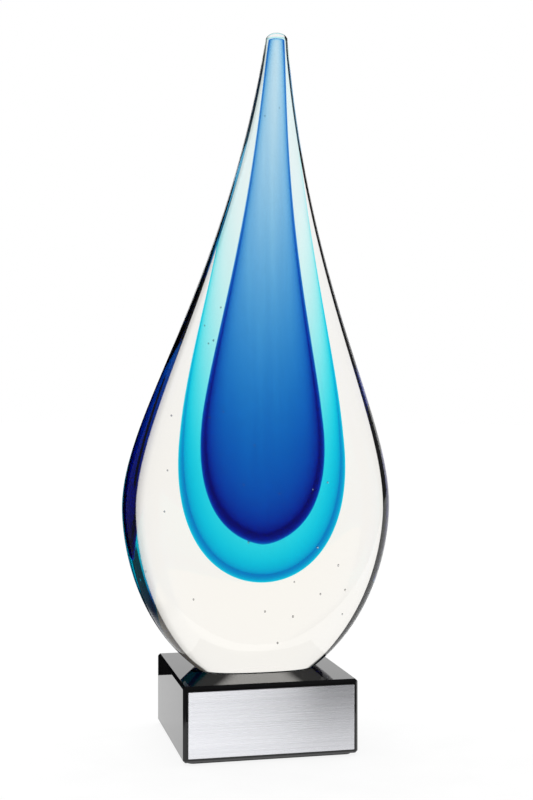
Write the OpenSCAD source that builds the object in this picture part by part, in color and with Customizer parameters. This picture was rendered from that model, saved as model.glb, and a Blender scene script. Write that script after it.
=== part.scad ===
// Art glass teardrop award: a cased glass drop bonded to a polished black glass block.
// The drop holds five nested bodies of glass: clear casing, aqua layer, clear interlayer,
// cobalt layer and clear core. A blank plate is stuck to the block's front, a felt pad below it.
// Millimetres, +Z up, front towards -Y. The origin is the middle of the underside.

/* [Base block] */
// Width of the block, left to right
base_w = 75; // [60:1:150]
// Depth of the block, front to back
base_d = 75; // [50:1:150]
// Height of the block
base_h = 31.5; // [15:0.5:80]
// Polished bevel along every edge of the block
base_bevel = 1; // [0.3:0.1:1.8]

/* [Felt pad] */
// Thickness of the pad under the block
pad_t = 0.8; // [0.4:0.1:4]
// Distance from the block's sides to the pad's edge
pad_inset = 2; // [2:0.5:10]
// Corner radius of the pad
pad_corner_r = 3; // [1:0.5:10]

/* [Plate] */
// Width of the black border left around the plate
plate_margin = 2; // [2:0.1:5]
// Thickness of the plate
plate_t = 0.8; // [0.5:0.1:3]
// Bevel along the plate's edges
plate_bevel = 0.15; // [0.05:0.05:0.2]
// Thickness of the adhesive film behind the plate
film_t = 0.15; // [0.05:0.05:0.5]
// Distance from the plate's edge to the film's edge
film_inset = 1; // [0.5:0.1:4]

/* [Bond under the drop] */
// Thickness of the clear adhesive between block and drop
bond_t = 0.3; // [0.1:0.05:1]
// Distance from the edge of the drop's foot to the edge of the adhesive
bond_inset = 0.4; // [0.2:0.1:3]

/* [Drop] */
// Height of the drop, from its foot to its tip
drop_h = 282; // [200:1:360]
// Height of the widest part above the foot
belly_h = 70.7; // [50:0.1:100]
// Width of the drop at its widest
belly_w = 120.9; // [100:0.1:160]
// Thickness of the drop at its widest, front to back
belly_d = 44; // [36:0.5:70]
// Width of the flat foot
foot_w = 53.8; // [40:0.1:58]
// Thickness of the flat foot, front to back
foot_d = 33; // [28:0.5:48]
// Width of the tip
tip_w = 10; // [9:0.1:16]
// Height of the rounded end of the tip
tip_round = 3.4; // [2:0.1:6]
// Distance of the foot's middle from the block's middle
foot_x = 1.05; // [-5:0.05:5]
// How far the belly leans to the right of the foot
belly_lean = 1.1; // [-3:0.1:3]
// How far the neck leans to the right of the foot
neck_lean = 4.7; // [-10:0.1:10]
// How far the tip leans to the right of the foot
tip_lean = 9.7; // [-15:0.1:15]
// How far the neck flares beyond the tip, to each side and to front and back
neck_flare = [14.5, 1]; // [0.5:0.1:20]
// Fullness of the horizontal sections at foot, belly and neck, 2 for an ellipse
section_fullness = [2.6, 2.42, 4]; // [2:0.02:5]
// Curve of the sides: foot, below the belly, above the belly, neck, as shares of their spans
casing_curve = [0.29, 0.22, 0.194, 0.549]; // [0.1:0.001:0.7]
// Flare of the sides at the foot, as a share of the belly's overhang
foot_flare = 0.83; // [0.2:0.01:1]

/* [Clear casing] */
// Clear glass below the aqua layer
casing_bottom = 37.9; // [20:0.1:45]
// Clear glass beside the aqua layer, where that layer is widest
casing_side = 19.5; // [12:0.1:25]
// Clear glass in front of the aqua layer and behind it, where that layer is widest
casing_face = 8; // [4:0.1:9]
// Clear glass beside the aqua layer, at the tip
casing_tip = 0.8; // [0.6:0.1:1.4]
// Clear glass above the aqua layer
casing_top = 2.6; // [2:0.1:8]
// How long the wall keeps its thickness on the way up
casing_taper = 1.04; // [0.9:0.02:4]
// Power by which the wall fades on the way to the tip
casing_fade = 2.5; // [1.5:0.1:4]

/* [Aqua layer] */
// Aqua glass at the bottom
aqua_bottom = 3.5; // [1:0.1:6]
// Aqua glass at the sides, where the layer is widest
aqua_side = 1.8; // [1:0.1:4]
// Aqua glass at front and back, where the layer is widest
aqua_face = 0.4; // [0.3:0.1:2]
// Aqua glass at the tip
aqua_tip = 0.03; // [0.03:0.01:0.4]
// How long the wall keeps its thickness on the way up
aqua_taper = 1; // [0.9:0.1:4]
// Power by which the wall fades on the way to the tip
aqua_fade = 4.2; // [1.5:0.1:6]
// Height of the layer's widest part above the widest part of the drop
aqua_rise = 29.3; // [10:0.1:40]
// Distance of the layer's middle from the middle of the drop, where the layer is widest
aqua_shift = 0.5; // [-4:0.1:4]
// Pull on the layer's middle, away from the middle of the drop, at the neck
aqua_neck_shift = -1.6; // [-3:0.1:3]
// Curve of the layer's bottom and of its side below the widest part, as shares of their spans
aqua_curve = [0.62, 0.65]; // [0.1:0.01:0.95]

/* [Clear interlayer] */
// Clear glass below the cobalt layer
interlayer_bottom = 13; // [6:0.1:20]
// Aqua and clear glass together beside the cobalt layer, where that layer is widest
interlayer_side = 8.3; // [6:0.1:11]
// Aqua and clear glass together in front of the cobalt layer and behind it, where that layer is widest
interlayer_face = 3.7; // [3:0.1:4]
// Aqua and clear glass together beside the cobalt layer, at the tip
interlayer_tip = 1.85; // [0.8:0.05:2.2]
// Clear glass above the cobalt layer
interlayer_top = 0.3; // [0.2:0.1:3]
// How long the glass keeps its thickness on the way up
interlayer_taper = 2.6; // [0.9:0.1:6]
// Power by which the glass fades on the way to the tip
interlayer_fade = 1.75; // [1.5:0.05:4]

/* [Cobalt layer] */
// Cobalt glass at the bottom
cobalt_bottom = 4.5; // [1:0.1:8]
// Cobalt glass at the sides, where the layer is widest
cobalt_side = 2.2; // [1:0.1:5]
// Cobalt glass at front and back, where the layer is widest
cobalt_face = 0.95; // [0.5:0.05:2.5]
// Cobalt glass at the sides of the tip
cobalt_tip_side = 0.45; // [0.1:0.05:0.6]
// Cobalt glass at front, back and top of the tip
cobalt_tip = 0.1; // [0.05:0.01:0.4]
// How long the wall keeps its thickness on the way up
cobalt_taper = 1; // [0.9:0.1:4]
// Power by which the wall fades on the way to the tip
cobalt_fade = 1.9; // [1.5:0.05:4]
// Height of the layer's widest part above the widest part of the aqua layer
cobalt_rise = 10.6; // [1:0.1:20]
// Distance of the layer's middle from the middle of the drop, where the layer is widest
cobalt_shift = 0.2; // [-4:0.1:4]
// Pull on the layer's middle, away from the middle of the drop, at the neck
cobalt_neck_shift = -0.8; // [-3:0.1:3]
// Curve of the layer's bottom and of its side below the widest part, as shares of their spans
cobalt_curve = [0.1, 0.94]; // [0.1:0.01:0.95]

/* [Hidden] */

// Smoothness of the glass surfaces
AROUND = 32;
LOW_STEPS = 9;
HIGH_STEPS = 15;
CAP_STEPS = 3;
// Smoothness of the pad's round corners
CORNER_STEPS = 48;
// Fullness of an elliptical section, which the tip and the inner surfaces have
ELLIPSE = 2;
// Height of the low rounded end that closes each inner surface at the tip
LAYER_CAP = 0.6;
// Step over which the slope of a side is measured
SLOPE_STEP = 0.5;
// Halvings in the search for a height on the casing's curve
SEARCH_STEPS = 24;

// Heights of the stacked pieces
block_z = pad_t;
block_top_z = block_z + base_h;
foot_z = block_top_z + bond_t;

// The plate fills the front face up to its border
film_y = -base_d / 2;
plate_y = film_y - film_t;
plate_w = base_w - 2 * plate_margin;
plate_h = base_h - 2 * plate_margin;
plate_z = block_z + base_h / 2;

// Each glass surface is swept through stations of [height, half width, half depth, middle x, fullness]
function station(height, half, x, fullness = ELLIPSE) = [height, half[0], half[1], x, fullness];
function at_height(s, height) = [height, s[1], s[2], s[3], s[4]];
function along(a, b, share) = a + (b - a) * share;
function bezier(p, t) =
    pow(1 - t, 3) * p[0] + 3 * t * pow(1 - t, 2) * p[1] + 3 * t * t * (1 - t) * p[2] + pow(t, 3) * p[3];
function curve_stations(curve, first, steps) = [for (i = [first : steps]) bezier(curve, i / steps)];

// Quarter round from the shoulder of the tip to its end
function cap_stations(shoulder, cap) = [
    for (i = [1 : CAP_STEPS]) let (a = 90 * i / CAP_STEPS)
        station(shoulder[0] + cap * sin(a), [shoulder[1], shoulder[2]] * cos(a), shoulder[3])
];

// Casing: flat foot, flared sides, widest at the belly, a leaning neck and a rounded tip
foot_half = [foot_w, foot_d] / 2;
belly_half = [belly_w, belly_d] / 2;
tip_half = [tip_w, tip_w] / 2;
shoulder_h = drop_h - tip_round;
flare_h = belly_h * casing_curve[0];
neck_h = along(shoulder_h, belly_h, casing_curve[3]);
foot_station = station(0, foot_half, foot_x, section_fullness[0]);
belly_station = station(belly_h, belly_half, foot_x + belly_lean, section_fullness[1]);
casing_lower = [
    foot_station,
    station(
        flare_h, along(foot_half, belly_half, foot_flare), foot_x + belly_lean * foot_flare,
        section_fullness[0]
    ),
    at_height(belly_station, belly_h * (1 - casing_curve[1])),
    belly_station,
];
casing_upper = [
    belly_station,
    at_height(belly_station, along(belly_h, shoulder_h, casing_curve[2])),
    station(neck_h, tip_half + neck_flare, foot_x + neck_lean, section_fullness[2]),
    station(shoulder_h, tip_half, foot_x + tip_lean),
];
casing_stations = concat(
    curve_stations(casing_lower, 0, LOW_STEPS),
    curve_stations(casing_upper, 1, HIGH_STEPS),
    cap_stations(casing_upper[3], tip_round)
);

// Half width and half depth of the casing, and its middle, at a height above the belly
function casing_share(h, low = 0, high = 1, steps = SEARCH_STEPS) =
    let (middle = (low + high) / 2)
    steps == 0 ? middle
    : bezier(casing_upper, middle)[0] < h ? casing_share(h, middle, high, steps - 1)
    : casing_share(h, low, middle, steps - 1);
function casing_at(h) = bezier(casing_upper, casing_share(h));
function casing_half(h) = let (s = casing_at(h)) [s[1], s[2]];

// Share of the way from a layer's widest part to its top
function climb(h, belly, top) = min(1, (h - belly) / (top - belly));

// Wall between two surfaces, full where the inner one is widest and thinning to the tip
function wall(h, belly, top, widest, tip, taper, fade) =
    along(tip, widest, pow(1 - pow(climb(h, belly, top), taper), fade));

// Inner surface: round bottom that runs into the sides, then the sides up to a low rounded end
function layer_stations(half_at, bottom, belly, top, shift, neck_shift, curve) =
    let (half = half_at(belly))
    let (slope = (half_at(belly + SLOPE_STEP) - half) / SLOPE_STEP)
    let (handle = (belly - bottom) * curve[1])
    let (x = casing_at(belly)[3] + shift)
    let (lower = [
        station(bottom, [0, 0], x),
        station(bottom, half * curve[0], x),
        station(belly - handle, half - slope * handle, x),
        station(belly, half, x),
    ])
    let (upper = [
        for (i = [1 : HIGH_STEPS])
            let (h = along(belly, top - LAYER_CAP, i / HIGH_STEPS), u = climb(h, belly, top))
            station(h, half_at(h), casing_at(h)[3] + shift * pow(1 - u, 2) + 2 * neck_shift * u * (1 - u))
    ])
    concat(curve_stations(lower, 0, LOW_STEPS), upper, cap_stations(upper[HIGH_STEPS - 1], LAYER_CAP));

// Outer surface of the aqua layer
aqua_belly_h = belly_h + aqua_rise;
aqua_top_h = drop_h - casing_top;
function aqua_half(h) = casing_half(h) - wall(
    h, aqua_belly_h, aqua_top_h, [casing_side, casing_face], [casing_tip, casing_tip],
    casing_taper, casing_fade
);
aqua_stations = layer_stations(
    function (h) aqua_half(h), casing_bottom, aqua_belly_h, aqua_top_h,
    aqua_shift, aqua_neck_shift, aqua_curve
);

// Inner surface of the aqua layer
inside_bottom_h = casing_bottom + aqua_bottom;
inside_top_h = aqua_top_h - aqua_tip;
function inside_half(h) = aqua_half(h) - wall(
    h, aqua_belly_h, inside_top_h, [aqua_side, aqua_face], [aqua_tip, aqua_tip], aqua_taper, aqua_fade
);
inside_stations = layer_stations(
    function (h) inside_half(h), inside_bottom_h, aqua_belly_h, inside_top_h,
    aqua_shift, aqua_neck_shift, aqua_curve
);

// Outer surface of the cobalt layer
cobalt_belly_h = aqua_belly_h + cobalt_rise;
cobalt_bottom_h = inside_bottom_h + interlayer_bottom;
cobalt_top_h = inside_top_h - interlayer_top;
function cobalt_half(h) = aqua_half(h) - wall(
    h, cobalt_belly_h, cobalt_top_h, [interlayer_side, interlayer_face], [interlayer_tip, interlayer_tip],
    interlayer_taper, interlayer_fade
);
cobalt_stations = layer_stations(
    function (h) cobalt_half(h), cobalt_bottom_h, cobalt_belly_h, cobalt_top_h,
    cobalt_shift, cobalt_neck_shift, cobalt_curve
);

// Inner surface of the cobalt layer, which the core fills
core_bottom_h = cobalt_bottom_h + cobalt_bottom;
core_top_h = cobalt_top_h - cobalt_tip;
function core_half(h) = cobalt_half(h) - wall(
    h, cobalt_belly_h, core_top_h, [cobalt_side, cobalt_face], [cobalt_tip_side, cobalt_tip],
    cobalt_taper, cobalt_fade
);
core_stations = layer_stations(
    function (h) core_half(h), core_bottom_h, cobalt_belly_h, core_top_h,
    cobalt_shift, cobalt_neck_shift, cobalt_curve
);

// Rounded power of a sine or cosine, which fills out the corners of an ellipse
function full(v, fullness) = sign(v) * pow(abs(v), 2 / fullness);
function section(s) = [
    for (i = [0 : AROUND - 1]) let (a = 360 * i / AROUND)
        [s[3] + s[1] * full(cos(a), s[4]), s[2] * full(sin(a), s[4])]
];
function ring(s) = [for (p = section(s)) [p[0], p[1], s[0]]];

// Solid swept through the stations, closed at the bottom and at the tip by fans of triangles
module swept_glass(stations) {
    last = len(stations) - 1;
    bottom = stations[0];
    round_bottom = bottom[1] == 0;
    first = round_bottom ? 1 : 0;
    rings = [for (i = [first : last - 1]) ring(stations[i])];
    count = len(rings);
    points = concat(
        [for (r = rings) each r],
        [[bottom[3], 0, bottom[0]], [stations[last][3], 0, stations[last][0]]]
    );
    bottom_point = count * AROUND;
    tip_point = bottom_point + 1;
    faces = concat(
        [for (i = [0 : count - 2], k = [0 : AROUND - 1]) each quad(i, k)],
        [for (k = [0 : AROUND - 1]) [bottom_point, k, (k + 1) % AROUND]],
        [for (k = [0 : AROUND - 1]) [
            tip_point, (count - 1) * AROUND + (k + 1) % AROUND, (count - 1) * AROUND + k
        ]]
    );
    translate([0, 0, foot_z]) polyhedron(points, faces);
}
function quad(i, k) =
    let (a = i * AROUND + k, b = i * AROUND + (k + 1) % AROUND, c = b + AROUND, d = a + AROUND)
    [[a, d, c], [a, c, b]];

module casing_glass() { swept_glass(casing_stations); }
module aqua_glass() { swept_glass(aqua_stations); }
module aqua_inside() { swept_glass(inside_stations); }
module cobalt_glass() { swept_glass(cobalt_stations); }
module cobalt_inside() { swept_glass(core_stations); }

// Block about its own middle with every edge bevelled
module bevelled_block(size, bevel) {
    intersection() {
        bevelled_prism(size, bevel);
        rotate([90, 0, 0]) bevelled_prism([size[0], size[2], size[1]], bevel);
        rotate([0, 90, 0]) bevelled_prism([size[2], size[1], size[0]], bevel);
    }
}
module bevelled_prism(size, bevel) {
    x = size[0] / 2;
    y = size[1] / 2;
    quarter = [[x - bevel, y], [x, y - bevel]];
    translate([0, 0, -size[2] / 2]) linear_extrude(size[2]) polygon(concat(
        quarter,
        [for (p = [quarter[1], quarter[0]]) [p[0], -p[1]]],
        [for (p = quarter) -p],
        [for (p = [quarter[1], quarter[0]]) [-p[0], p[1]]]
    ));
}

module base_block() {
    color("black") translate([0, 0, block_z + base_h / 2])
        bevelled_block([base_w, base_d, base_h], base_bevel);
}

// Felt sheet with round corners
module base_pad() {
    x = base_w / 2 - pad_inset - pad_corner_r;
    y = base_d / 2 - pad_inset - pad_corner_r;
    color("dimgray") {
        translate([-x - pad_corner_r, -y, 0]) cube([2 * (x + pad_corner_r), 2 * y, pad_t]);
        translate([-x, -y - pad_corner_r, 0]) cube([2 * x, 2 * (y + pad_corner_r), pad_t]);
        for (sx = [-1, 1], sy = [-1, 1])
            translate([sx * x, sy * y, 0]) cylinder(h = pad_t, r = pad_corner_r, $fn = CORNER_STEPS);
    }
}

module plate_adhesive() {
    w = plate_w - 2 * film_inset;
    h = plate_h - 2 * film_inset;
    color("gainsboro") translate([-w / 2, plate_y, plate_z - h / 2]) cube([w, film_t, h]);
}

module name_plate() {
    color("silver") translate([0, plate_y - plate_t / 2, plate_z])
        bevelled_block([plate_w, plate_t, plate_h], plate_bevel);
}

module glass_bond() {
    edge = station(0, foot_half - [bond_inset, bond_inset], foot_x, section_fullness[0]);
    color("aliceblue", 0.5) translate([0, 0, block_top_z])
        linear_extrude(bond_t) polygon(section(edge));
}

module clear_casing() {
    color("ivory", 0.3) difference() {
        casing_glass();
        aqua_glass();
    }
}

module aqua_layer() {
    color("deepskyblue", 0.6) difference() {
        aqua_glass();
        aqua_inside();
    }
}

module clear_interlayer() {
    color("azure", 0.3) difference() {
        aqua_inside();
        cobalt_glass();
    }
}

module cobalt_layer() {
    color("mediumblue", 0.7) difference() {
        cobalt_glass();
        cobalt_inside();
    }
}

module clear_core() {
    color("lightskyblue", 0.4) cobalt_inside();
}

base_block();
base_pad();
name_plate();
plate_adhesive();
glass_bond();
clear_casing();
aqua_layer();
clear_interlayer();
cobalt_layer();
clear_core();
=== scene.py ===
import bisect
import math

import bpy
from bpy.props import FloatProperty, FloatVectorProperty, PointerProperty
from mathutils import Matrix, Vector


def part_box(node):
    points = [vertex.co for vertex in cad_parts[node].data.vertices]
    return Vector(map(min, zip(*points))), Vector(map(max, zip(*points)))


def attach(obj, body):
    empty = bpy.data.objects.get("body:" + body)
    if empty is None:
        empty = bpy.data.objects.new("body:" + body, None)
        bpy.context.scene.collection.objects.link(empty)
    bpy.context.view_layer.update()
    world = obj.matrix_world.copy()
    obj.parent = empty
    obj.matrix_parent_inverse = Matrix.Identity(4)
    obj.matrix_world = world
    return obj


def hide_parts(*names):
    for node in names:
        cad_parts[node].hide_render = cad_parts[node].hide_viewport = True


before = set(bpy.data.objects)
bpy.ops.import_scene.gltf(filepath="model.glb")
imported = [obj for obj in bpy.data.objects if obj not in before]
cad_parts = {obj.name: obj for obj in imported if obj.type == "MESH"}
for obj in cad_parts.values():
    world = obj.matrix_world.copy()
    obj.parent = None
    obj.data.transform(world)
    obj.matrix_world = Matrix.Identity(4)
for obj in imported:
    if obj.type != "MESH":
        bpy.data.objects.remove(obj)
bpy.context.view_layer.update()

bl_info = {
    "name": "Art Glass Teardrop Award",
    "version": (1, 0, 0),
    "blender": (4, 5, 0),
    "location": "View3D > Sidebar > Award",
    "description": "Dresses a cased glass teardrop on a black glass block, with a studio stage around it",
    "category": "Object",
}

# Places that the frame gives
CASING_LOW, CASING_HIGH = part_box("clear_casing")
AQUA_LOW, AQUA_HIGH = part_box("aqua_layer")
INTERLAYER_LOW, INTERLAYER_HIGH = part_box("clear_interlayer")
COBALT_LOW, COBALT_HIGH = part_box("cobalt_layer")
CORE_LOW, CORE_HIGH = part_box("clear_core")
BOND_LOW, BOND_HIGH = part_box("glass_bond")
FOOT_Z = CASING_LOW.z
FOOT_X = (BOND_LOW.x + BOND_HIGH.x) / 2
BELLY_X = (CASING_LOW.x + CASING_HIGH.x) / 2

# Distance from the edge of the drop's foot to the edge of the bond
BOND_INSET = 0.4e-3

# Smoothness of the glass surfaces
AROUND = 160
LOW_STEPS = 40
HIGH_STEPS = 64
CAP_STEPS = 12
GLASS_CREASE = math.radians(40)
# Fullness of an elliptical section
ELLIPSE = 2.0
# Height of the low rounded end that closes each inner surface at the tip
LAYER_CAP = 0.6e-3
# Step over which the slope of a side is measured
SLOPE_STEP = 0.5e-3
# Halvings in the search for a height on the casing's curve
SEARCH_STEPS = 30
# Heights closer than this are the same
SAME_HEIGHT = 1e-6

# Hair of air that keeps faces of touching pieces apart
HAIR = 0.02e-3

# Refractive indices; a coloured layer bends no light inside the clear glass
CLEAR_INDEX = 1.52
LAYER_INDEX = 1.0
ADHESIVE_INDEX = 1.47
BLACK_INDEX = 1.5

# Smoothness of the felt pad
PAD_CORNER_STEPS = 10
PAD_EDGE_STEPS = 4
PAD_CREASE = math.radians(35)

# Values between which a noise spends most of its time
NOISE_LOW, NOISE_HIGH = 0.3, 0.7

# Seed bubbles in the clear glass: place and size across in millimetres,
# and how far they are drawn out upwards
MILLIMETRE = 1e-3
BUBBLES = (
    (-26.0, 2.8, 64.0, 0.7), (4.9, 7.5, 57.3, 0.8), (16.9, 4.9, 54.9, 0.9),
    (37.2, -4.4, 56.0, 0.7), (27.7, -4.2, 65.0, 0.8), (39.4, 5.5, 66.0, 0.8),
    (35.1, -9.3, 77.6, 0.9), (17.7, 6.2, 69.9, 0.7), (10.2, 5.0, 43.6, 0.8),
    (-44.7, 2.4, 76.7, 0.6), (-37.9, -2.2, 119.5, 0.6), (-39.3, -2.8, 102.2, 0.7),
    (-8.3, -17.7, 114.1, 0.6), (-3.2, -16.3, 130.7, 0.7), (7.6, -16.9, 110.0, 0.6),
    (22.6, -15.5, 111.4, 0.6), (29.9, -11.7, 114.1, 0.7), (25.4, -11.0, 85.9, 0.8),
    (-5.7, -14.9, 89.1, 0.7), (-22.7, -5.7, 182.6, 0.6), (-19.9, -10.5, 176.2, 0.7),
    (-22.0, -10.3, 174.9, 0.6), (-16.2, -8.4, 190.7, 0.6), (-36.7, -5.1, 143.2, 0.7),
    (-16.5, -15.4, 145.4, 0.6), (-22.0, -13.0, 142.8, 0.6), (4.7, -3.0, 276.4, 0.5),
    (11.0, -3.4, 280.2, 0.5),
)
BUBBLE_STRETCH = 1.25

# Light of the studio: a room with soft cards laid over it in turn, each given as
# azimuth, half width, lowest, highest, soft edge and brightness, in degrees
MIRROR_ROOM = 0.12
MIRROR_CARDS = (
    (17, 45, -90, 25, 4, 1.0),
)
GLASS_ROOM = 0.85
GLASS_CARDS = (
    (5, 40, -90, 90, 6, 1.0),
    (0, 200, 28, 120, 3, 0.1),
    (73, 9, -90, 90, 3, 0.08),
)
# Cards that show in the drop's edges alone: a ceiling below the belly, the dark room near the tip
# and a strip on the left, each with the fewest and most glass surfaces that a ray passes there
EDGE_CARDS = (
    ((18, 22, 10.5, 120, 2, 0.08), 6, 9),
    ((135, 45, -90, 90, 4, 0.04), 11, 40),
    ((36, 5.5, -50, -8, 2, 0.03), 11, 40),
)

# Round floor: its radius, its reach in front of the award's middle, its own glow,
# and the two places at the left between which mirrors lose sight of that glow
FLOOR_RADIUS = 4.0
FLOOR_FRONT = 0.11
FLOOR_GLOW = 0.88
FLOOR_SHADE = (-0.12, -0.09)

# Wide light from above that neither mirrors nor glass show
FLOOR_LIGHT = 3.1
FLOOR_LIGHT_SPREAD = math.radians(70)
FLOOR_LIGHT_TILT = math.radians(-15)

# Black flag behind the award to the left, by two corners, and how far its right edge leans back at the top
FLAG_LOW, FLAG_HIGH = Vector((-0.25, 0.14, 0)), Vector((-0.018, 0.14, 0.6))
FLAG_LEAN = 0.075

# Low light in front that only the plate gets, by two corners
PLATE_LIGHT_LOW, PLATE_LIGHT_HIGH = Vector((-0.16, -0.18, -0.01)), Vector((0.055, -0.18, 0.05))
PLATE_LIGHT = 0.05

# Level camera at the photograph's angle
FOCAL_LENGTH = 58.54
CAMERA_PLACE = (-0.1224, -0.5666, 0.1505)
CAMERA_TURN = math.radians(-12.78)
NEAREST_SEEN = 0.01

# Surfaces that a ray may meet, enough to leave the nested glass
BOUNCES = 40


class AwardDropSizes(bpy.types.PropertyGroup):
    """Sizes of the glass drop."""

    belly_height: FloatProperty(
        name="Belly Height", description="Height of the widest part above the foot",
        default=70.7e-3, min=50e-3, max=100e-3, unit="LENGTH",
    )
    tip_width: FloatProperty(
        name="Tip Width", description="Width of the tip below its rounded end",
        default=10e-3, min=9e-3, max=16e-3, unit="LENGTH",
    )
    tip_round: FloatProperty(
        name="Tip Round", description="Height of the rounded end of the tip",
        default=3.4e-3, min=2e-3, max=6e-3, unit="LENGTH",
    )
    neck_lean: FloatProperty(
        name="Neck Lean", description="How far the neck leans to the right of the foot",
        default=4.7e-3, min=-10e-3, max=10e-3, unit="LENGTH",
    )
    tip_lean: FloatProperty(
        name="Tip Lean", description="How far the tip leans to the right of the foot",
        default=9.7e-3, min=-15e-3, max=15e-3, unit="LENGTH",
    )
    neck_flare: FloatVectorProperty(
        name="Neck Flare", description="How far the neck flares beyond the tip, sideways and front to back",
        size=2, default=(14.5e-3, 1e-3), unit="LENGTH",
    )
    fullness: FloatVectorProperty(
        name="Fullness", description="Fullness of the sections at foot, belly and neck, 2 for an ellipse",
        size=3, default=(2.6, 2.42, 4.0), min=2.0, max=5.0,
    )
    curve: FloatVectorProperty(
        name="Curve", description="Curve of the sides at foot, below and above the belly, and at the neck",
        size=4, default=(0.29, 0.22, 0.194, 0.549), min=0.1, max=0.7,
    )
    foot_flare: FloatProperty(
        name="Foot Flare", description="Flare of the sides at the foot, as a share of the belly's overhang",
        default=0.83, min=0.2, max=1.0, subtype="FACTOR",
    )


class AwardLayerSizes(bpy.types.PropertyGroup):
    """Walls and curves of the coloured layers inside the drop."""

    casing_wall: FloatVectorProperty(
        name="Casing Wall",
        description="Clear glass beside the aqua layer and in front of it, then both at the tip",
        size=4, default=(19.5e-3, 8e-3, 0.8e-3, 0.8e-3), unit="LENGTH",
    )
    casing_taper: FloatProperty(
        name="Casing Taper", description="How long the casing's wall keeps its thickness on the way up",
        default=1.04, min=0.9, max=4.0,
    )
    casing_fade: FloatProperty(
        name="Casing Fade", description="Power by which the casing's wall fades on the way to the tip",
        default=2.5, min=1.0, max=5.0,
    )
    aqua_wall: FloatVectorProperty(
        name="Aqua Wall", description="Aqua glass at the sides and at front and back, then both at the tip",
        size=4, default=(1.8e-3, 0.4e-3, 0.03e-3, 0.03e-3), unit="LENGTH",
    )
    aqua_taper: FloatProperty(
        name="Aqua Taper", description="How long the aqua wall keeps its thickness on the way up",
        default=1.0, min=0.8, max=4.0,
    )
    aqua_fade: FloatProperty(
        name="Aqua Fade", description="Power by which the aqua wall fades on the way to the tip",
        default=4.2, min=1.0, max=6.0,
    )
    aqua_rise: FloatProperty(
        name="Aqua Rise", description="Height of the aqua layer's widest part above the belly",
        default=29.3e-3, min=10e-3, max=40e-3, unit="LENGTH",
    )
    aqua_shift: FloatVectorProperty(
        name="Aqua Shift",
        description="Distance of the aqua layer's middle from the drop's, where widest and at the neck",
        size=2, default=(0.5e-3, -1.6e-3), unit="LENGTH",
    )
    aqua_curve: FloatVectorProperty(
        name="Aqua Curve",
        description="Curve of the aqua layer's bottom and of its sides below the widest part",
        size=2, default=(0.62, 0.65), min=0.1, max=0.95,
    )
    interlayer_wall: FloatVectorProperty(
        name="Interlayer Wall",
        description="Aqua and clear glass beside the cobalt layer and in front of it, then both at the tip",
        size=4, default=(8.3e-3, 3.7e-3, 1.85e-3, 1.85e-3), unit="LENGTH",
    )
    interlayer_taper: FloatProperty(
        name="Interlayer Taper",
        description="How long the interlayer's wall keeps its thickness on the way up",
        default=2.6, min=0.8, max=6.0,
    )
    interlayer_fade: FloatProperty(
        name="Interlayer Fade",
        description="Power by which the interlayer's wall fades on the way to the tip",
        default=1.75, min=1.0, max=5.0,
    )
    cobalt_wall: FloatVectorProperty(
        name="Cobalt Wall",
        description="Cobalt glass at the sides and at front and back, then both at the tip",
        size=4, default=(2.2e-3, 0.95e-3, 0.45e-3, 0.1e-3), unit="LENGTH",
    )
    cobalt_taper: FloatProperty(
        name="Cobalt Taper", description="How long the cobalt wall keeps its thickness on the way up",
        default=1.0, min=0.8, max=4.0,
    )
    cobalt_fade: FloatProperty(
        name="Cobalt Fade", description="Power by which the cobalt wall fades on the way to the tip",
        default=1.9, min=1.0, max=5.0,
    )
    cobalt_rise: FloatProperty(
        name="Cobalt Rise", description="Height of the cobalt layer's widest part above the aqua layer's",
        default=10.6e-3, min=1e-3, max=20e-3, unit="LENGTH",
    )
    cobalt_shift: FloatVectorProperty(
        name="Cobalt Shift",
        description="Distance of the cobalt layer's middle from the drop's, where widest and at the neck",
        size=2, default=(0.2e-3, -0.8e-3), unit="LENGTH",
    )
    cobalt_curve: FloatVectorProperty(
        name="Cobalt Curve",
        description="Curve of the cobalt layer's bottom and of its sides below the widest part",
        size=2, default=(0.1, 0.94), min=0.1, max=0.95,
    )


class AwardBaseSizes(bpy.types.PropertyGroup):
    """Sizes of the edges on the block, the plate and the pad."""

    block_bevel: FloatProperty(
        name="Block Bevel", description="Polished bevel along every edge of the block",
        default=1e-3, min=0.3e-3, max=1.8e-3, unit="LENGTH",
    )
    block_edge: FloatProperty(
        name="Block Edge", description="Small rounding left by polishing on both sides of each bevel",
        default=0.12e-3, min=0.02e-3, max=0.3e-3, unit="LENGTH",
    )
    plate_bevel: FloatProperty(
        name="Plate Bevel", description="Bevel along the plate's edges",
        default=0.15e-3, min=0.05e-3, max=0.2e-3, unit="LENGTH",
    )
    pad_corner: FloatProperty(
        name="Pad Corner", description="Corner radius of the felt pad",
        default=3e-3, min=1e-3, max=10e-3, unit="LENGTH",
    )
    pad_edge: FloatProperty(
        name="Pad Edge", description="Rounding along the felt pad's edges",
        default=0.3e-3, min=0.05e-3, max=0.39e-3, unit="LENGTH",
    )


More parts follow.
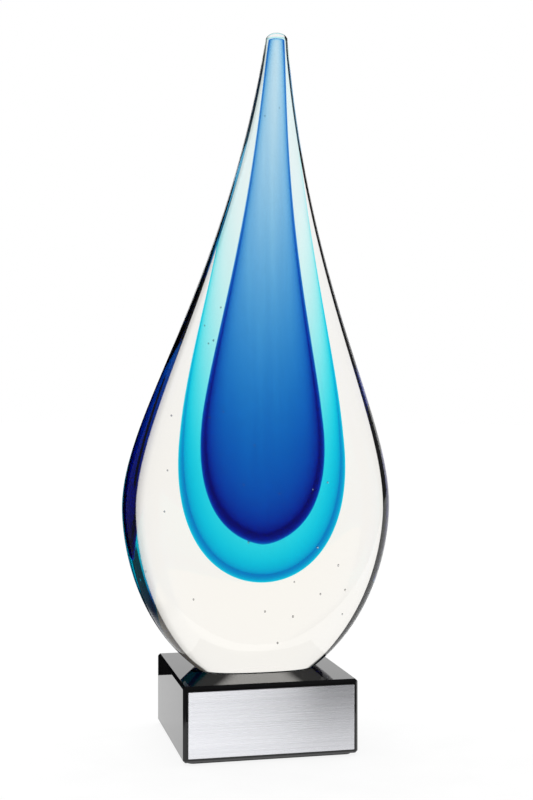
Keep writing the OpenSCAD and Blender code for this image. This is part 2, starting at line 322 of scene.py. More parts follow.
class AwardColours(bpy.types.PropertyGroup):
    """Colours of the glass and how strongly it absorbs."""

    clear_colour: FloatVectorProperty(
        name="Clear Glass", description="What the clear glass lets through",
        size=3, default=(0.93, 0.67, 0.08), min=0.0, max=1.0, subtype="COLOR",
    )
    clear_depth: FloatProperty(
        name="Clear Depth", description="How strongly the clear glass absorbs, per metre",
        default=2.4, min=0.0, max=100.0,
    )
    aqua_colour: FloatVectorProperty(
        name="Aqua Glass", description="What the aqua glass lets through",
        size=3, default=(0.0, 0.908, 0.969), min=0.0, max=1.0, subtype="COLOR",
    )
    aqua_depth: FloatProperty(
        name="Aqua Depth", description="How strongly the aqua glass absorbs, per metre",
        default=1800.0, min=0.0, max=10000.0,
    )
    cobalt_colour: FloatVectorProperty(
        name="Cobalt Glass", description="What the cobalt glass lets through",
        size=3, default=(0.0, 0.55, 0.87), min=0.0, max=1.0, subtype="COLOR",
    )
    cobalt_depth: FloatProperty(
        name="Cobalt Depth", description="How strongly the cobalt glass absorbs, per metre",
        default=1850.0, min=0.0, max=10000.0,
    )


# Stations are vectors of height above the foot, half width, half depth, middle x and fullness
def station(height, half, middle, fullness=ELLIPSE):
    return Vector((height, half[0], half[1], middle, fullness))


def at_height(place, height):
    return Vector((height, *place[1:]))


def between(a, b, share):
    return a + (b - a) * share


def bezier(points, t):
    a, b, c, d = points
    u = 1 - t
    return a * u**3 + b * (3 * t * u * u) + c * (3 * t * t * u) + d * t**3


def curve_stations(points, first, steps):
    return [bezier(points, i / steps) for i in range(first, steps + 1)]


def cap_stations(shoulder, height):
    """Quarter round from the shoulder of the tip to its end."""
    angles = [math.pi / 2 * i / CAP_STEPS for i in range(1, CAP_STEPS + 1)]
    half = Vector(shoulder[1:3])
    return [station(shoulder[0] + height * math.sin(a), half * math.cos(a), shoulder[3]) for a in angles]


class DropShape:
    """The five nested surfaces of the drop, from the casing in to the core."""

    def __init__(self, drop, layer):
        self.layer = layer
        height = CASING_HIGH.z - FOOT_Z
        foot = (BOND_HIGH - BOND_LOW) / 2 + Vector((BOND_INSET, BOND_INSET, 0))
        belly = (CASING_HIGH - CASING_LOW) / 2
        tip = Vector((drop.tip_width, drop.tip_width, 0)) / 2
        flare = Vector((*drop.neck_flare, 0))
        low, high, rise, neck = drop.curve
        shoulder = height - drop.tip_round
        widest = drop.belly_height
        self.tip_round = drop.tip_round
        foot_full, belly_full, neck_full = drop.fullness
        flared = between(foot, belly, drop.foot_flare)
        flared_x = between(FOOT_X, BELLY_X, drop.foot_flare)
        belly_place = station(widest, belly, BELLY_X, belly_full)
        self.foot = station(0, foot, FOOT_X, foot_full)
        self.lower = (
            self.foot,
            station(widest * low, flared, flared_x, foot_full),
            at_height(belly_place, widest * (1 - high)),
            belly_place,
        )
        self.upper = (
            belly_place,
            at_height(belly_place, between(widest, shoulder, rise)),
            station(between(shoulder, widest, neck), tip + flare, FOOT_X + drop.neck_lean, neck_full),
            station(shoulder, tip, FOOT_X + drop.tip_lean),
        )
        # Height at which each coloured layer is widest
        aqua_belly = widest + layer.aqua_rise
        self.widest = {"aqua": aqua_belly, "cobalt": aqua_belly + layer.cobalt_rise}

    def casing(self):
        return (
            curve_stations(self.lower, 0, LOW_STEPS)
            + curve_stations(self.upper, 1, HIGH_STEPS)
            + cap_stations(self.upper[3], self.tip_round)
        )

    def casing_at(self, height):
        """Station of the casing at a height above the belly."""
        low, high = 0.0, 1.0
        for _ in range(SEARCH_STEPS):
            middle = (low + high) / 2
            if bezier(self.upper, middle)[0] < height:
                low = middle
            else:
                high = middle
        return bezier(self.upper, (low + high) / 2)

    def wall(self, name, height, belly, high):
        """Wall between two surfaces, full where the inner one is widest and thinning to the tip."""
        side, face, tip_side, tip_face = getattr(self.layer, name + "_wall")
        taper = getattr(self.layer, name + "_taper")
        fade = getattr(self.layer, name + "_fade")
        top = high.z - FOOT_Z
        climb = min(1.0, max(0.0, (height - belly) / (top - belly)))
        share = (1 - climb**taper) ** fade
        return Vector((between(tip_side, side, share), between(tip_face, face, share)))

    def aqua_half(self, height):
        outside = Vector(self.casing_at(height)[1:3])
        return outside - self.wall("casing", height, self.widest["aqua"], AQUA_HIGH)

    def interlayer_half(self, height):
        return self.aqua_half(height) - self.wall("aqua", height, self.widest["aqua"], INTERLAYER_HIGH)

    def cobalt_half(self, height):
        return self.aqua_half(height) - self.wall("interlayer", height, self.widest["cobalt"], COBALT_HIGH)

    def core_half(self, height):
        return self.cobalt_half(height) - self.wall("cobalt", height, self.widest["cobalt"], CORE_HIGH)

    def layer_stations(self, name, half_at, low, high):
        """Round bottom that runs into the sides, then the sides up to a low rounded end."""
        shift = getattr(self.layer, name + "_shift")
        curve = getattr(self.layer, name + "_curve")
        belly = self.widest[name]
        bottom, top = low.z - FOOT_Z, high.z - FOOT_Z
        half = half_at(belly)
        slope = (half_at(belly + SLOPE_STEP) - half) / SLOPE_STEP
        handle = (belly - bottom) * curve[1]
        middle = self.casing_at(belly)[3] + shift[0]
        lower = (
            station(bottom, (0, 0), middle),
            station(bottom, half * curve[0], middle),
            station(belly - handle, half - slope * handle, middle),
            station(belly, half, middle),
        )
        upper = []
        for i in range(1, HIGH_STEPS + 1):
            height = between(belly, top - LAYER_CAP, i / HIGH_STEPS)
            u = (height - belly) / (top - belly)
            lean = shift[0] * (1 - u) ** 2 + 2 * shift[1] * u * (1 - u)
            upper.append(station(height, half_at(height), self.casing_at(height)[3] + lean))
        return curve_stations(lower, 0, LOW_STEPS) + upper + cap_stations(upper[-1], LAYER_CAP)

    def aqua(self):
        return self.layer_stations("aqua", self.aqua_half, AQUA_LOW, AQUA_HIGH)

    def interlayer(self):
        return self.layer_stations("aqua", self.interlayer_half, INTERLAYER_LOW, INTERLAYER_HIGH)

    def cobalt(self):
        return self.layer_stations("cobalt", self.cobalt_half, COBALT_LOW, COBALT_HIGH)

    def core(self):
        return self.layer_stations("cobalt", self.core_half, CORE_LOW, CORE_HIGH)


def full(value, fullness):
    """Rounded power of a sine or cosine, which fills out the corners of an ellipse."""
    return math.copysign(abs(value) ** (2 / fullness), value)


def fill_out(piece, rings):
    """Gives each elliptical ring of a swept piece its own fullness."""
    heights = [FOOT_Z + ring[0] for ring in rings]
    for v in piece.data.vertices:
        k = min(bisect.bisect(heights, v.co.z - SAME_HEIGHT), len(rings) - 1)
        _, wide, deep, middle, fullness = rings[k]
        v.co.x = middle + wide * full((v.co.x - middle) / wide, fullness)
        v.co.y = deep * full(v.co.y / deep, fullness)


def close_ring(step):
    """Closes the selected ring with a fan of faces to one point."""
    bpy.ops.mesh.extrude_region_move(TRANSFORM_OT_translate={"value": step})
    bpy.ops.mesh.merge(type="CENTER")


def sweep_glass(name, stations):
    """Closed glass surface: one ring, extruded and resized from station to station."""
    round_bottom = stations[0][1] == 0
    rings = stations[1:-1] if round_bottom else stations[:-1]
    bpy.ops.object.select_all(action="DESELECT")
    bpy.ops.mesh.primitive_circle_add(vertices=AROUND, radius=1, location=(0, 0, 0))
    piece = bpy.context.object
    piece.name = piece.data.name = name
    bpy.ops.object.mode_set(mode="EDIT")
    bpy.ops.mesh.select_all(action="SELECT")
    height, wide, deep, middle = rings[0][:4]
    bpy.ops.transform.resize(value=(wide, deep, 1), center_override=(0, 0, 0))
    bpy.ops.transform.translate(value=(middle, 0, FOOT_Z + height))
    for ring in rings[1:]:
        bpy.ops.mesh.extrude_region_move(
            TRANSFORM_OT_translate={"value": (ring[3] - middle, 0, ring[0] - height)})
        bpy.ops.transform.resize(
            value=(ring[1] / wide, ring[2] / deep, 1), center_override=(ring[3], 0, FOOT_Z + ring[0]))
        height, wide, deep, middle = ring[:4]
    close_ring((stations[-1][3] - middle, 0, stations[-1][0] - height))
    bpy.ops.mesh.select_mode(type="VERT")
    bpy.ops.mesh.select_all(action="DESELECT")
    bpy.ops.mesh.select_non_manifold()
    if round_bottom:
        close_ring((0, 0, stations[0][0] - rings[0][0]))
    else:
        bpy.ops.mesh.edge_face_add()
    bpy.ops.mesh.select_all(action="SELECT")
    bpy.ops.mesh.normals_make_consistent(inside=False)
    bpy.ops.object.mode_set(mode="OBJECT")
    fill_out(piece, rings)
    bpy.ops.object.shade_smooth_by_angle(angle=GLASS_CREASE)
    return piece


def join_pieces(main_piece, others):
    """Makes other pieces part of the main one."""
    bpy.ops.object.select_all(action="DESELECT")
    for piece in others:
        piece.select_set(True)
    main_piece.select_set(True)
    bpy.context.view_layer.objects.active = main_piece
    bpy.ops.object.join()
    return main_piece


def glass_layer(name, outside, inside):
    """Closed wall of glass between two swept surfaces, hollow in the middle."""
    wall = sweep_glass(name, outside)
    hollow = sweep_glass(name + "_inside", inside)
    bpy.ops.object.mode_set(mode="EDIT")
    bpy.ops.mesh.select_all(action="SELECT")
    bpy.ops.mesh.flip_normals()
    bpy.ops.object.mode_set(mode="OBJECT")
    return join_pieces(wall, [hollow])


def new_material(name):
    """Material with its node tree and Principled shader."""
    material = bpy.data.materials.new(name)
    material.use_nodes = True
    return material, material.node_tree, material.node_tree.nodes["Principled BSDF"]


def add_noise(tree, scale, detail=2.0, stretch=(1, 1, 1)):
    """Noise over the piece's own coordinates, with features of 1 / scale metres."""
    place = tree.nodes.new("ShaderNodeTexCoord")
    mapping = tree.nodes.new("ShaderNodeMapping")
    mapping.inputs["Scale"].default_value = stretch
    noise = tree.nodes.new("ShaderNodeTexNoise")
    noise.inputs["Scale"].default_value = scale
    noise.inputs["Detail"].default_value = detail
    tree.links.new(place.outputs["Object"], mapping.inputs["Vector"])
    tree.links.new(mapping.outputs["Vector"], noise.inputs["Vector"])
    return noise.outputs["Fac"]


def set_colour(tree, shader, noise, first, second):
    """Base colour that a noise shifts between two others."""
    ramp = tree.nodes.new("ShaderNodeValToRGB")
    for element, position, colour in zip(ramp.color_ramp.elements, (NOISE_LOW, NOISE_HIGH), (first, second)):
        element.position = position
        element.color = (*colour, 1)
    tree.links.new(noise, ramp.inputs["Fac"])
    tree.links.new(ramp.outputs["Color"], shader.inputs["Base Color"])


def set_roughness(tree, shader, noise, low, high):
    """Roughness that a noise shifts over a range."""
    node = tree.nodes.new("ShaderNodeMapRange")
    node.inputs["From Min"].default_value = NOISE_LOW
    node.inputs["From Max"].default_value = NOISE_HIGH
    node.inputs["To Min"].default_value = low
    node.inputs["To Max"].default_value = high
    tree.links.new(noise, node.inputs["Value"])
    tree.links.new(node.outputs["Result"], shader.inputs["Roughness"])


def add_bump(tree, shader, height, strength, distance):
    """Bump from a noise, with its depth in metres."""
    bump = tree.nodes.new("ShaderNodeBump")
    bump.inputs["Strength"].default_value = strength
    bump.inputs["Distance"].default_value = distance
    tree.links.new(height, bump.inputs["Height"])
    tree.links.new(bump.outputs["Normal"], shader.inputs["Normal"])


def add_math(tree, operation, *values):
    """Math node on sockets and numbers."""
    node = tree.nodes.new("ShaderNodeMath")
    node.operation = operation
    for socket, value in zip(node.inputs, values):
        if isinstance(value, bpy.types.NodeSocket):
            tree.links.new(value, socket)
        else:
            socket.default_value = value
    return node.outputs["Value"]


def add_mix(tree, share, first, second):
    """Mix of two sockets or numbers."""
    node = tree.nodes.new("ShaderNodeMix")
    for name, value in (("Factor", share), ("A", first), ("B", second)):
        if isinstance(value, bpy.types.NodeSocket):
            tree.links.new(value, node.inputs[name])
        else:
            node.inputs[name].default_value = value
    return node.outputs["Result"]


def add_edge(tree, value, outside, inside):
    """Soft edge: 0 outside, 1 inside."""
    node = tree.nodes.new("ShaderNodeMapRange")
    node.interpolation_type = "SMOOTHSTEP"
    node.inputs["From Min"].default_value = outside
    node.inputs["From Max"].default_value = inside
    tree.links.new(value, node.inputs["Value"])
    return node.outputs["Result"]


def glass_material(name, ior, colour, depth):
    """Smooth glass that takes its colour from the way through it."""
    material, tree, shader = new_material(name)
    shader.inputs["Base Color"].default_value = (1, 1, 1, 1)
    shader.inputs["Transmission Weight"].default_value = 1
    shader.inputs["Roughness"].default_value = 0
    shader.inputs["IOR"].default_value = ior
    absorption = tree.nodes.new("ShaderNodeVolumeAbsorption")
    absorption.inputs["Color"].default_value = (*colour, 1)
    absorption.inputs["Density"].default_value = depth
    tree.links.new(absorption.outputs["Volume"], tree.nodes["Material Output"].inputs["Volume"])
    return material, tree, shader


def streaked_glass(name, colour, depth, pale):
    """Coloured glass inside the clear glass, with faint streaks drawn up to the tip."""
    material, tree, shader = glass_material(name, LAYER_INDEX, colour, depth)
    streaks = add_noise(tree, scale=220, stretch=(1, 1, 0.04))
    set_colour(tree, shader, streaks, pale, (1, 1, 1))
    return material


def finish_piece(piece, material, slot, *nodes):
    """Gives a piece its material and its body, and hides the CAD nodes that it stands for; the slot is not
    used.
    """
    piece.data.materials.clear()
    piece.data.materials.append(material)
    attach(piece, "root")
    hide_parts(*nodes)


def seed_bubbles():
    """Small bubbles of air, drawn out along the drop, as hollows to join to the clear glass."""
    bubbles = []
    for bubble_sizes in BUBBLES:
        x, y, z, across = (size * MILLIMETRE for size in bubble_sizes)
        bpy.ops.object.select_all(action="DESELECT")
        bpy.ops.mesh.primitive_ico_sphere_add(subdivisions=3, radius=across / 2, location=(x, y, z))
        bubble = bpy.context.object
        bpy.ops.object.mode_set(mode="EDIT")
        bpy.ops.mesh.select_all(action="SELECT")
        bpy.ops.transform.resize(value=(1, 1, BUBBLE_STRETCH), center_override=(x, y, z))
        bpy.ops.mesh.flip_normals()
        bpy.ops.object.mode_set(mode="OBJECT")
        bpy.ops.object.shade_smooth()
        bubbles.append(bubble)
    return bubbles


class AWARD_OT_clear_glass(bpy.types.Operator):
    """Build the clear glass drop with its bubbles, which stands for casing, interlayer and core"""

    bl_idname = "award.clear_glass"
    bl_label = "Clear Glass Drop"

    def execute(self, context):
        scene = context.scene
        colours = scene.award_colours
        shape = DropShape(scene.award_drop, scene.award_layers)
        drop = sweep_glass("clear_glass_drop", shape.casing())
        join_pieces(drop, seed_bubbles())
        bpy.ops.object.transform_apply(location=True, rotation=True, scale=True)
        glass, tree, shader = glass_material(
            "clear_glass", CLEAR_INDEX, colours.clear_colour, colours.clear_depth)
        # Faint waves that hot working leaves on the surface
        waves = add_noise(tree, scale=26, detail=1, stretch=(1, 1, 0.6))
        add_bump(tree, shader, waves, strength=0.1, distance=0.4e-3)
        finish_piece(drop, glass, "clear_glass", "clear_casing", "clear_interlayer", "clear_core")
        return {"FINISHED"}


class AWARD_OT_aqua_glass(bpy.types.Operator):
    """Build the aqua glass layer"""

    bl_idname = "award.aqua_glass"
    bl_label = "Aqua Glass Layer"

    def execute(self, context):
        scene = context.scene
        colours = scene.award_colours
        shape = DropShape(scene.award_drop, scene.award_layers)
        layer = glass_layer("aqua_glass_layer", shape.aqua(), shape.interlayer())
        glass = streaked_glass(
            "aqua_glass", colours.aqua_colour, colours.aqua_depth, pale=(0.975, 0.99, 0.99))
        finish_piece(layer, glass, "aqua_glass", "aqua_layer")
        return {"FINISHED"}


class AWARD_OT_cobalt_glass(bpy.types.Operator):
    """Build the cobalt glass layer"""

    bl_idname = "award.cobalt_glass"
    bl_label = "Cobalt Glass Layer"

    def execute(self, context):
        scene = context.scene
        colours = scene.award_colours
        shape = DropShape(scene.award_drop, scene.award_layers)
        layer = glass_layer("cobalt_glass_layer", shape.cobalt(), shape.core())
        glass = streaked_glass(
            "cobalt_glass", colours.cobalt_colour, colours.cobalt_depth, pale=(0.9, 0.94, 0.98))
        finish_piece(layer, glass, "cobalt_glass", "cobalt_layer")
        return {"FINISHED"}


class AWARD_OT_glass_bond(bpy.types.Operator):
    """Build the clear adhesive between the drop and the block"""

    bl_idname = "award.glass_bond"
    bl_label = "Clear Bond"

    def execute(self, context):
        shape = DropShape(context.scene.award_drop, context.scene.award_layers)
        low, high = BOND_LOW.z + HAIR - FOOT_Z, BOND_HIGH.z - HAIR - FOOT_Z
        half = (BOND_HIGH - BOND_LOW) / 2
        fullness = shape.foot[4]
        # The rim bulges a little between block and drop
        outline = ((0, 0.99), (0.3, 1), (0.7, 1), (1, 0.99), (1, 0))
        bond = sweep_glass("clear_bond", [
            station(between(low, high, climb), half * share, FOOT_X, fullness) for climb, share in outline])
        adhesive, tree, shader = glass_material(
            "clear_adhesive", ADHESIVE_INDEX, colour=(0.9, 0.9, 0.85), depth=20)
        haze = add_noise(tree, scale=900, detail=3)
        set_roughness(tree, shader, haze, 0.02, 0.12)
        finish_piece(bond, adhesive, "clear_adhesive", "glass_bond")
        return {"FINISHED"}


def bevelled_block(name, low, high, bevel, edge):
    """Block between two corners with a flat bevel on every edge, softened on both sides."""
    bpy.ops.object.select_all(action="DESELECT")
    bpy.ops.mesh.primitive_cube_add(size=1, location=(low + high) / 2, scale=high - low)
    block = bpy.context.object
    block.name = block.data.name = name
    bpy.ops.object.transform_apply(location=True, rotation=True, scale=True)
    bpy.ops.object.mode_set(mode="EDIT")
    bpy.ops.mesh.select_all(action="SELECT")
    bpy.ops.mesh.bevel(offset=bevel, segments=1, affect="EDGES")
    bpy.ops.mesh.select_all(action="SELECT")
    bpy.ops.mesh.bevel(offset=edge, segments=2, affect="EDGES")
    bpy.ops.object.mode_set(mode="OBJECT")
    bpy.ops.object.shade_smooth()
    flat = block.modifiers.new("flat_faces", "WEIGHTED_NORMAL")
    flat.weight = 100
    bpy.ops.object.modifier_apply(modifier=flat.name)
    return block


class AWARD_OT_base_block(bpy.types.Operator):
    """Build the polished black glass block"""

    bl_idname = "award.base_block"
    bl_label = "Black Glass Block"

    def execute(self, context):
        sizes = context.scene.award_base
        low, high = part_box("base_block")
        block = bevelled_block("black_glass_block", low, high, sizes.block_bevel, sizes.block_edge)
        material, tree, shader = new_material("black_glass")
        shader.inputs["IOR"].default_value = BLACK_INDEX
        clouds = add_noise(tree, scale=60)
        set_colour(tree, shader, clouds, (0.003, 0.003, 0.004), (0.006, 0.006, 0.007))
        # Traces of wiping on the polish
        wiped = add_noise(tree, scale=45, detail=5, stretch=(1, 1, 3))
        set_roughness(tree, shader, wiped, 0.01, 0.045)
        finish_piece(block, material, "black_glass", "base_block")
        return {"FINISHED"}


class AWARD_OT_felt_pad(bpy.types.Operator):
    """Build the felt pad under the block"""

    bl_idname = "award.felt_pad"
    bl_label = "Felt Pad"

    def execute(self, context):
        sizes = context.scene.award_base
        low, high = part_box("base_pad")
        bpy.ops.object.select_all(action="DESELECT")
        bpy.ops.mesh.primitive_cube_add(size=1, location=(low + high) / 2, scale=high - low)
        pad = context.object
        pad.name = pad.data.name = "felt_pad"
        bpy.ops.object.transform_apply(location=True, rotation=True, scale=True)
        bpy.ops.object.mode_set(mode="EDIT")
        bpy.ops.mesh.select_mode(type="EDGE")
        bpy.ops.mesh.select_all(action="DESELECT")
        bpy.ops.object.mode_set(mode="OBJECT")
        for edge in pad.data.edges:
            a, b = (pad.data.vertices[k].co for k in edge.vertices)
            edge.select = abs(a.z - b.z) > SAME_HEIGHT
        bpy.ops.object.mode_set(mode="EDIT")
        bpy.ops.mesh.bevel(offset=sizes.pad_corner, segments=PAD_CORNER_STEPS, affect="EDGES")
        bpy.ops.object.mode_set(mode="OBJECT")
        # Cut edges of the felt are pressed soft
        soft = pad.modifiers.new("soft_edge", "BEVEL")
        soft.width = sizes.pad_edge
        soft.segments = PAD_EDGE_STEPS
        soft.limit_method = "ANGLE"
        bpy.ops.object.modifier_apply(modifier=soft.name)
        bpy.ops.object.shade_smooth_by_angle(angle=PAD_CREASE)
        material, tree, shader = new_material("felt")
        shader.inputs["Sheen Weight"].default_value = 0.5
        shader.inputs["Sheen Roughness"].default_value = 0.6
        fibres = add_noise(tree, scale=2600, detail=6)
        set_colour(tree, shader, fibres, (0.012, 0.012, 0.013), (0.05, 0.05, 0.052))
        set_roughness(tree, shader, fibres, 0.85, 1.0)
        add_bump(tree, shader, fibres, strength=0.8, distance=0.15e-3)
        finish_piece(pad, material, "felt", "base_pad")
        return {"FINISHED"}


class AWARD_OT_name_plate(bpy.types.Operator):
    """Build the blank brushed plate and finish the film behind it"""

    bl_idname = "award.name_plate"
    bl_label = "Blank Plate"

    def execute(self, context):
        sizes = context.scene.award_base
        low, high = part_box("name_plate")
        plate = bevelled_block("blank_plate", low, high, sizes.plate_bevel, edge=sizes.plate_bevel / 5)
        material, tree, shader = new_material("brushed_aluminium")
        shader.inputs["Metallic"].default_value = 1
        shader.inputs["Anisotropic"].default_value = 0.85
        shader.inputs["Anisotropic Rotation"].default_value = 0.25
        tangent = tree.nodes.new("ShaderNodeTangent")
        tangent.direction_type = "RADIAL"
        tangent.axis = "Z"
        tree.links.new(tangent.outputs["Tangent"], shader.inputs["Tangent"])
        # Long hairlines and broader bands along the brushing
        along = (0.004, 1, 1)
        hairs = add_noise(tree, scale=6000, detail=3, stretch=along)
        bands = add_noise(tree, scale=1600, detail=3, stretch=along)
        set_colour(tree, shader, bands, (0.77, 0.775, 0.81), (0.83, 0.835, 0.87))
        set_roughness(tree, shader, hairs, 0.25, 0.31)
        add_bump(tree, shader, hairs, strength=0.04, distance=0.015e-3)
        finish_piece(plate, material, "brushed_aluminium", "name_plate")

        film = bpy.data.objects["plate_adhesive"]
        material, tree, shader = new_material("adhesive_film")
        foam = add_noise(tree, scale=1800, detail=4)
        set_colour(tree, shader, foam, (0.78, 0.78, 0.75), (0.9, 0.9, 0.87))
        set_roughness(tree, shader, foam, 0.45, 0.7)
        add_bump(tree, shader, foam, strength=0.3, distance=0.03e-3)
        film.data.materials.clear()
        film.data.materials.append(material)
        return {"FINISHED"}


def studio_floor():
    """Pale round floor that runs into the white background."""
    bpy.ops.object.select_all(action="DESELECT")
    bpy.ops.mesh.primitive_circle_add(
        vertices=128, radius=FLOOR_RADIUS, fill_type="NGON", location=(0, FLOOR_RADIUS - FLOOR_FRONT, 0))
    bpy.ops.object.transform_apply(location=True, rotation=True, scale=True)
    floor = bpy.context.object
    floor.name = floor.data.name = "studio_floor"
    floor.visible_transmission = False
    material, tree, shader = new_material("studio_floor")
    shader.inputs["Roughness"].default_value = 0.9
    shader.inputs["Specular IOR Level"].default_value = 0
    shader.inputs["Emission Color"].default_value = (1, 1, 1, 1)
    # Mirrors see no glow at the left
    place = tree.nodes.new("ShaderNodeTexCoord")
    parts = tree.nodes.new("ShaderNodeSeparateXYZ")
    path = tree.nodes.new("ShaderNodeLightPath")
    tree.links.new(place.outputs["Object"], parts.inputs["Vector"])
    lit = add_edge(tree, parts.outputs["X"], *FLOOR_SHADE)
    lit = add_mix(tree, path.outputs["Is Glossy Ray"], 1.0, lit)
    tree.links.new(add_math(tree, "MULTIPLY", lit, FLOOR_GLOW), shader.inputs["Emission Strength"])
    grain = add_noise(tree, scale=40, detail=3)
    set_colour(tree, shader, grain, (0.11, 0.11, 0.11), (0.13, 0.13, 0.13))
    floor.data.materials.append(material)


def floor_light(scene):
    """Wide soft light from above."""
    lamp = bpy.data.objects.new("floor_light", bpy.data.lights.new("floor_light", "SUN"))
    lamp.data.energy = FLOOR_LIGHT
    lamp.data.angle = FLOOR_LIGHT_SPREAD
    lamp.rotation_euler = (FLOOR_LIGHT_TILT, 0, 0)
    lamp.visible_glossy = False
    lamp.visible_transmission = False
    scene.collection.objects.link(lamp)


def add_cards(tree, turn, climb, room, cards):
    """Light of a room with soft cards laid over it."""
    light = room
    for azimuth, half, low, high, soft, level in cards:
        aside = add_math(tree, "WRAP", add_math(tree, "SUBTRACT", turn, azimuth), 180, -180)
        aside = add_math(tree, "ABSOLUTE", aside)
        above_low = add_edge(tree, climb, low - soft, low + soft)
        below_high = add_edge(tree, climb, high + soft, high - soft)
        share = add_edge(tree, aside, half + soft, half - soft)
        share = add_math(tree, "MULTIPLY", share, add_math(tree, "MULTIPLY", above_low, below_high))
        light = add_mix(tree, share, light, level)
    return light


def studio_world():
    """Soft studio around the award: bright through the glass between dark cards, dim in front for mirrors."""
    world = bpy.data.worlds.new("studio")
    world.use_nodes = True
    tree = world.node_tree
    place = tree.nodes.new("ShaderNodeTexCoord")
    parts = tree.nodes.new("ShaderNodeSeparateXYZ")
    tree.links.new(place.outputs["Generated"], parts.inputs["Vector"])
    turn = add_math(tree, "DEGREES", add_math(tree, "ARCTAN2", parts.outputs["X"], parts.outputs["Y"]))
    climb = add_math(tree, "DEGREES", add_math(tree, "ARCSINE", parts.outputs["Z"]))
    path = tree.nodes.new("ShaderNodeLightPath")
    mirrored = add_cards(tree, turn, climb, MIRROR_ROOM, MIRROR_CARDS)
    through = add_cards(tree, turn, climb, GLASS_ROOM, GLASS_CARDS)
    passed = path.outputs["Ray Depth"]
    # A ray through an edge is turned back inside the glass at least once
    turned_back = add_math(tree, "GREATER_THAN", path.outputs["Glossy Depth"], 0.5)
    for card, fewest, most in EDGE_CARDS:
        enough = add_math(tree, "GREATER_THAN", passed, fewest - 0.5)
        few = add_math(tree, "LESS_THAN", passed, most + 0.5)
        at_edge = add_math(tree, "MULTIPLY", add_math(tree, "MULTIPLY", enough, few), turned_back)
        through = add_mix(tree, at_edge, through, add_cards(tree, turn, climb, through, (card,)))
    light = add_mix(tree, path.outputs["Is Transmission Ray"], mirrored, through)
    # The open background stays white
    light = add_mix(tree, path.outputs["Is Camera Ray"], light, 1.0)
    tree.links.new(light, tree.nodes["Background"].inputs["Color"])
    return world


def black_flag():
    """Upright black card on the stage that only mirrors and glass see."""
    bpy.ops.object.select_all(action="DESELECT")
    bpy.ops.mesh.primitive_plane_add(
        size=1, location=(FLAG_LOW + FLAG_HIGH) / 2, rotation=(math.pi / 2, 0, 0))
    flag = bpy.context.object
    flag.name = flag.data.name = "black_flag"
    flag.scale = (FLAG_HIGH.x - FLAG_LOW.x, FLAG_HIGH.z - FLAG_LOW.z, 1)
    bpy.ops.object.transform_apply(location=True, rotation=True, scale=True)
    upper_right = max(flag.data.vertices, key=lambda v: v.co.x + v.co.z)
    upper_right.co.x -= FLAG_LEAN
    flag.visible_camera = False
    flag.visible_diffuse = False
    flag.visible_shadow = False
    material, tree, shader = new_material("black_cloth")
    weave = add_noise(tree, scale=900, detail=3)
    set_colour(tree, shader, weave, (0.004, 0.004, 0.004), (0.01, 0.01, 0.01))
    shader.inputs["Roughness"].default_value = 1
    shader.inputs["Specular IOR Level"].default_value = 0
    flag.data.materials.append(material)


def plate_light(scene):
    """Light that is kept to the plate."""
    lamp = bpy.data.objects.new("plate_light", bpy.data.lights.new("plate_light", "AREA"))
    lamp.data.shape = "ELLIPSE"
    lamp.data.size = PLATE_LIGHT_HIGH.x - PLATE_LIGHT_LOW.x
    lamp.data.size_y = PLATE_LIGHT_HIGH.z - PLATE_LIGHT_LOW.z
    lamp.data.energy = PLATE_LIGHT
    lamp.location = (PLATE_LIGHT_LOW + PLATE_LIGHT_HIGH) / 2
    lamp.rotation_euler = (math.pi / 2, 0, 0)
    lamp.visible_camera = False
    lit = bpy.data.collections.new("lit_by_plate_light")
    lit.objects.link(bpy.data.objects["blank_plate"])
    lamp.light_linking.receiver_collection = lit
    scene.collection.objects.link(lamp)


def photo_camera(scene):
    """Camera at the photograph's angle."""
    camera = bpy.data.objects.new("camera", bpy.data.cameras.new("camera"))
    camera.data.lens = FOCAL_LENGTH
    camera.data.clip_start = NEAREST_SEEN
    camera.location = CAMERA_PLACE
    camera.rotation_euler = (math.pi / 2, 0, CAMERA_TURN)
    scene.collection.objects.link(camera)
    scene.camera = camera


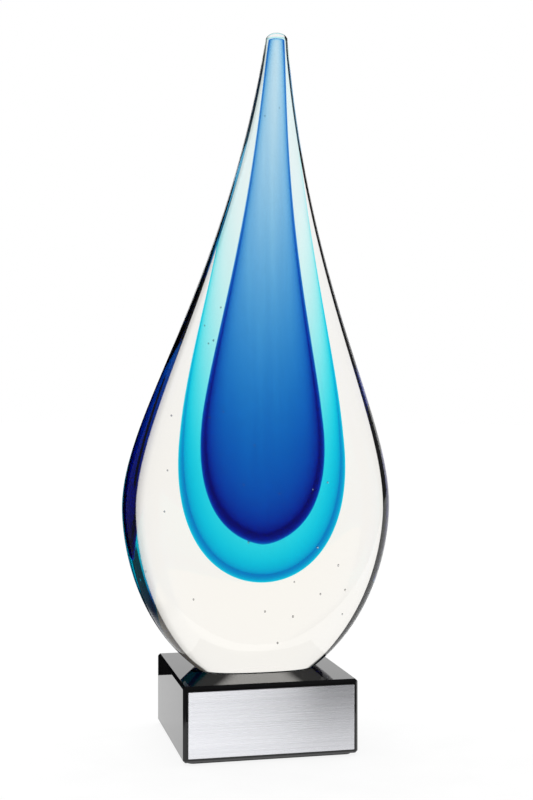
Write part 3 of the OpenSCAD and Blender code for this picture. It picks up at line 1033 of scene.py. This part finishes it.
class AWARD_OT_stage(bpy.types.Operator):
    """Build the floor, the lights and the camera"""

    bl_idname = "award.stage"
    bl_label = "Studio Stage"

    def execute(self, context):
        scene = context.scene
        studio_floor()
        black_flag()
        plate_light(scene)
        scene.world = studio_world()
        floor_light(scene)
        photo_camera(scene)
        scene.view_settings.view_transform = "Standard"
        scene.cycles.max_bounces = BOUNCES
        scene.cycles.transmission_bounces = BOUNCES
        scene.cycles.glossy_bounces = BOUNCES
        return {"FINISHED"}


class AWARD_PT_sidebar(bpy.types.Panel):
    """Sizes, colours and pieces of the award"""

    bl_idname = "AWARD_PT_sidebar"
    bl_label = "Art Glass Award"
    bl_space_type = "VIEW_3D"
    bl_region_type = "UI"
    bl_category = "Award"

    def draw(self, context):
        for name, group in GROUPS.items():
            column = self.layout.column()
            for setting in group.__annotations__:
                column.prop(getattr(context.scene, name), setting)
        for operator in OPERATORS:
            self.layout.operator(operator.bl_idname)


GROUPS = {
    "award_drop": AwardDropSizes,
    "award_layers": AwardLayerSizes,
    "award_base": AwardBaseSizes,
    "award_colours": AwardColours,
}
OPERATORS = (
    AWARD_OT_clear_glass,
    AWARD_OT_aqua_glass,
    AWARD_OT_cobalt_glass,
    AWARD_OT_glass_bond,
    AWARD_OT_base_block,
    AWARD_OT_felt_pad,
    AWARD_OT_name_plate,
    AWARD_OT_stage,
)


def register():
    for group in GROUPS.values():
        bpy.utils.register_class(group)
    for name, group in GROUPS.items():
        setattr(bpy.types.Scene, name, PointerProperty(type=group))
    for operator in OPERATORS:
        bpy.utils.register_class(operator)
    bpy.utils.register_class(AWARD_PT_sidebar)


def unregister():
    bpy.utils.unregister_class(AWARD_PT_sidebar)
    for operator in reversed(OPERATORS):
        bpy.utils.unregister_class(operator)
    for name in GROUPS:
        delattr(bpy.types.Scene, name)
    for group in reversed(list(GROUPS.values())):
        bpy.utils.unregister_class(group)


def main():
    register()
    bpy.ops.award.clear_glass()
    bpy.ops.award.aqua_glass()
    bpy.ops.award.cobalt_glass()
    bpy.ops.award.glass_bond()
    bpy.ops.award.base_block()
    bpy.ops.award.felt_pad()
    bpy.ops.award.name_plate()
    bpy.ops.award.stage()


if __name__ == "__main__":
    main()
